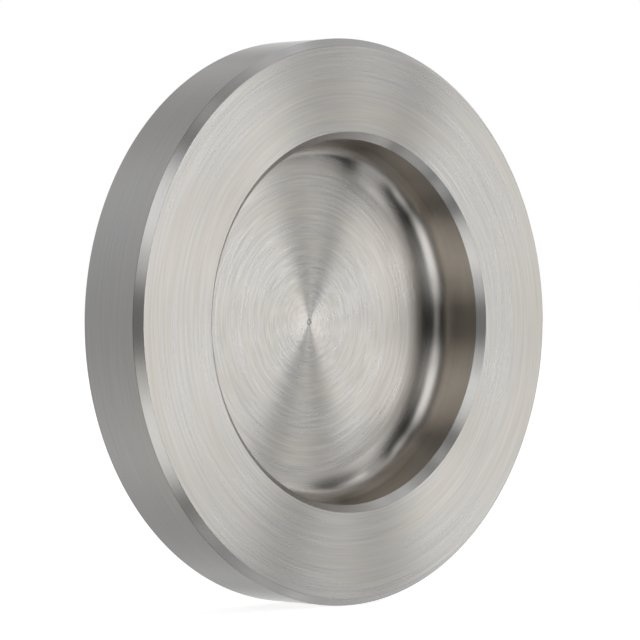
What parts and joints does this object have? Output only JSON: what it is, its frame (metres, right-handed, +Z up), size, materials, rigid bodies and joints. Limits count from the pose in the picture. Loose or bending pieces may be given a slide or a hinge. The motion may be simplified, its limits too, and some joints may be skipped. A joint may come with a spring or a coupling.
{
  "type": "pocket door pull",
  "caption": "Round flush pull for a sliding door: one solid turned disc with a deep blind finger recess, filleted floor and chamfered edges.",
  "frame": {"origin": "centre of the flat back face, which is seated or glued in the door", "axes": "+Y is the turning axis and points out of the back into the door, the recessed front faces -Y, +Z is up"},
  "size_m": [0.07, 0.01, 0.07],
  "materials": {
    "steel": "fine turned satin"
  },
  "bodies": {
    "root": {"pull": "steel"}
  },
  "joints": []
}
